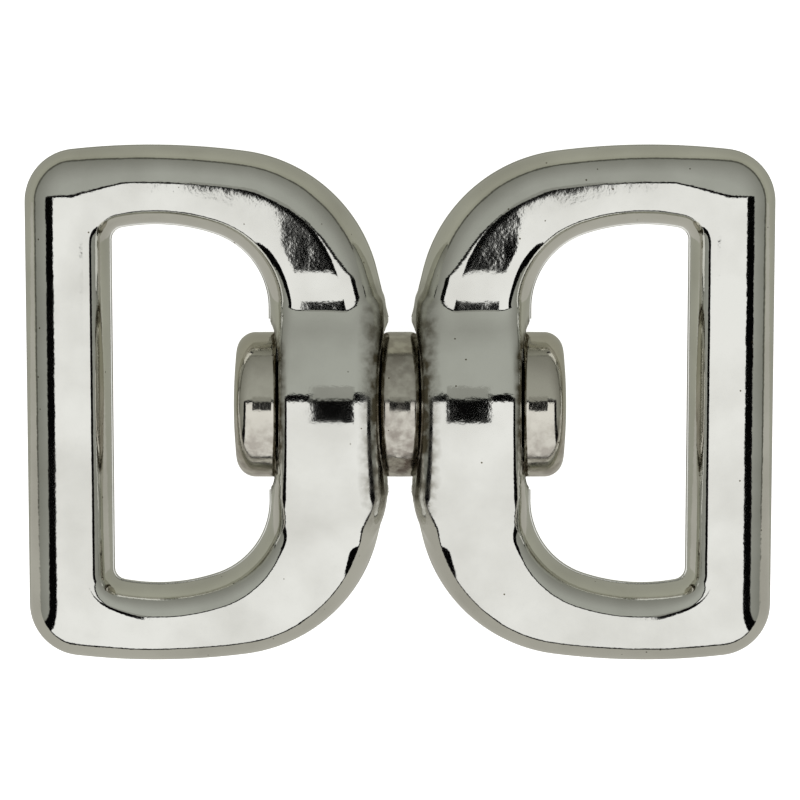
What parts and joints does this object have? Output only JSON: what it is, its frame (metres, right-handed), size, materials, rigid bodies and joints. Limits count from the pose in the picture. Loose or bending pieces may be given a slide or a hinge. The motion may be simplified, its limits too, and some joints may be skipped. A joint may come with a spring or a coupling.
{
  "type": "double strap-eye swivel",
  "caption": "Cast metal strap swivel: a D-shaped strap eye at each end, both turning freely on a spool-shaped pin with a collar between them.",
  "frame": {"origin": "middle of the spool's collar, on the swivel axis", "axes": "+X along the swivel axis towards the right eye, +Y along the strap bars, +Z through the thickness; the part lies flat on the backs of its two hubs"},
  "size_m": [0.0522, 0.0364, 0.0118],
  "materials": {
    "bright_nickel": "bright nickel plate over a die-cast zinc skin with slight orange peel",
    "recess_nickel": "nickel plate, duller and rougher than on the eyes, with a cast gate mark on the collar"
  },
  "bodies": {
    "spool": {"swivel_spool": "recess_nickel"},
    "left_eye": {"left_eye": "bright_nickel"},
    "right_eye": {"right_eye": "bright_nickel"}
  },
  "joints": [
    {"name": "left_eye_spin", "type": "hinge", "parent": "spool", "child": "left_eye", "pos_m": [-0.005, 0, 0], "axis": [1, 0, 0], "continuous": true},
    {"name": "right_eye_spin", "type": "hinge", "parent": "spool", "child": "right_eye", "pos_m": [0.005, 0, 0], "axis": [1, 0, 0], "continuous": true}
  ]
}
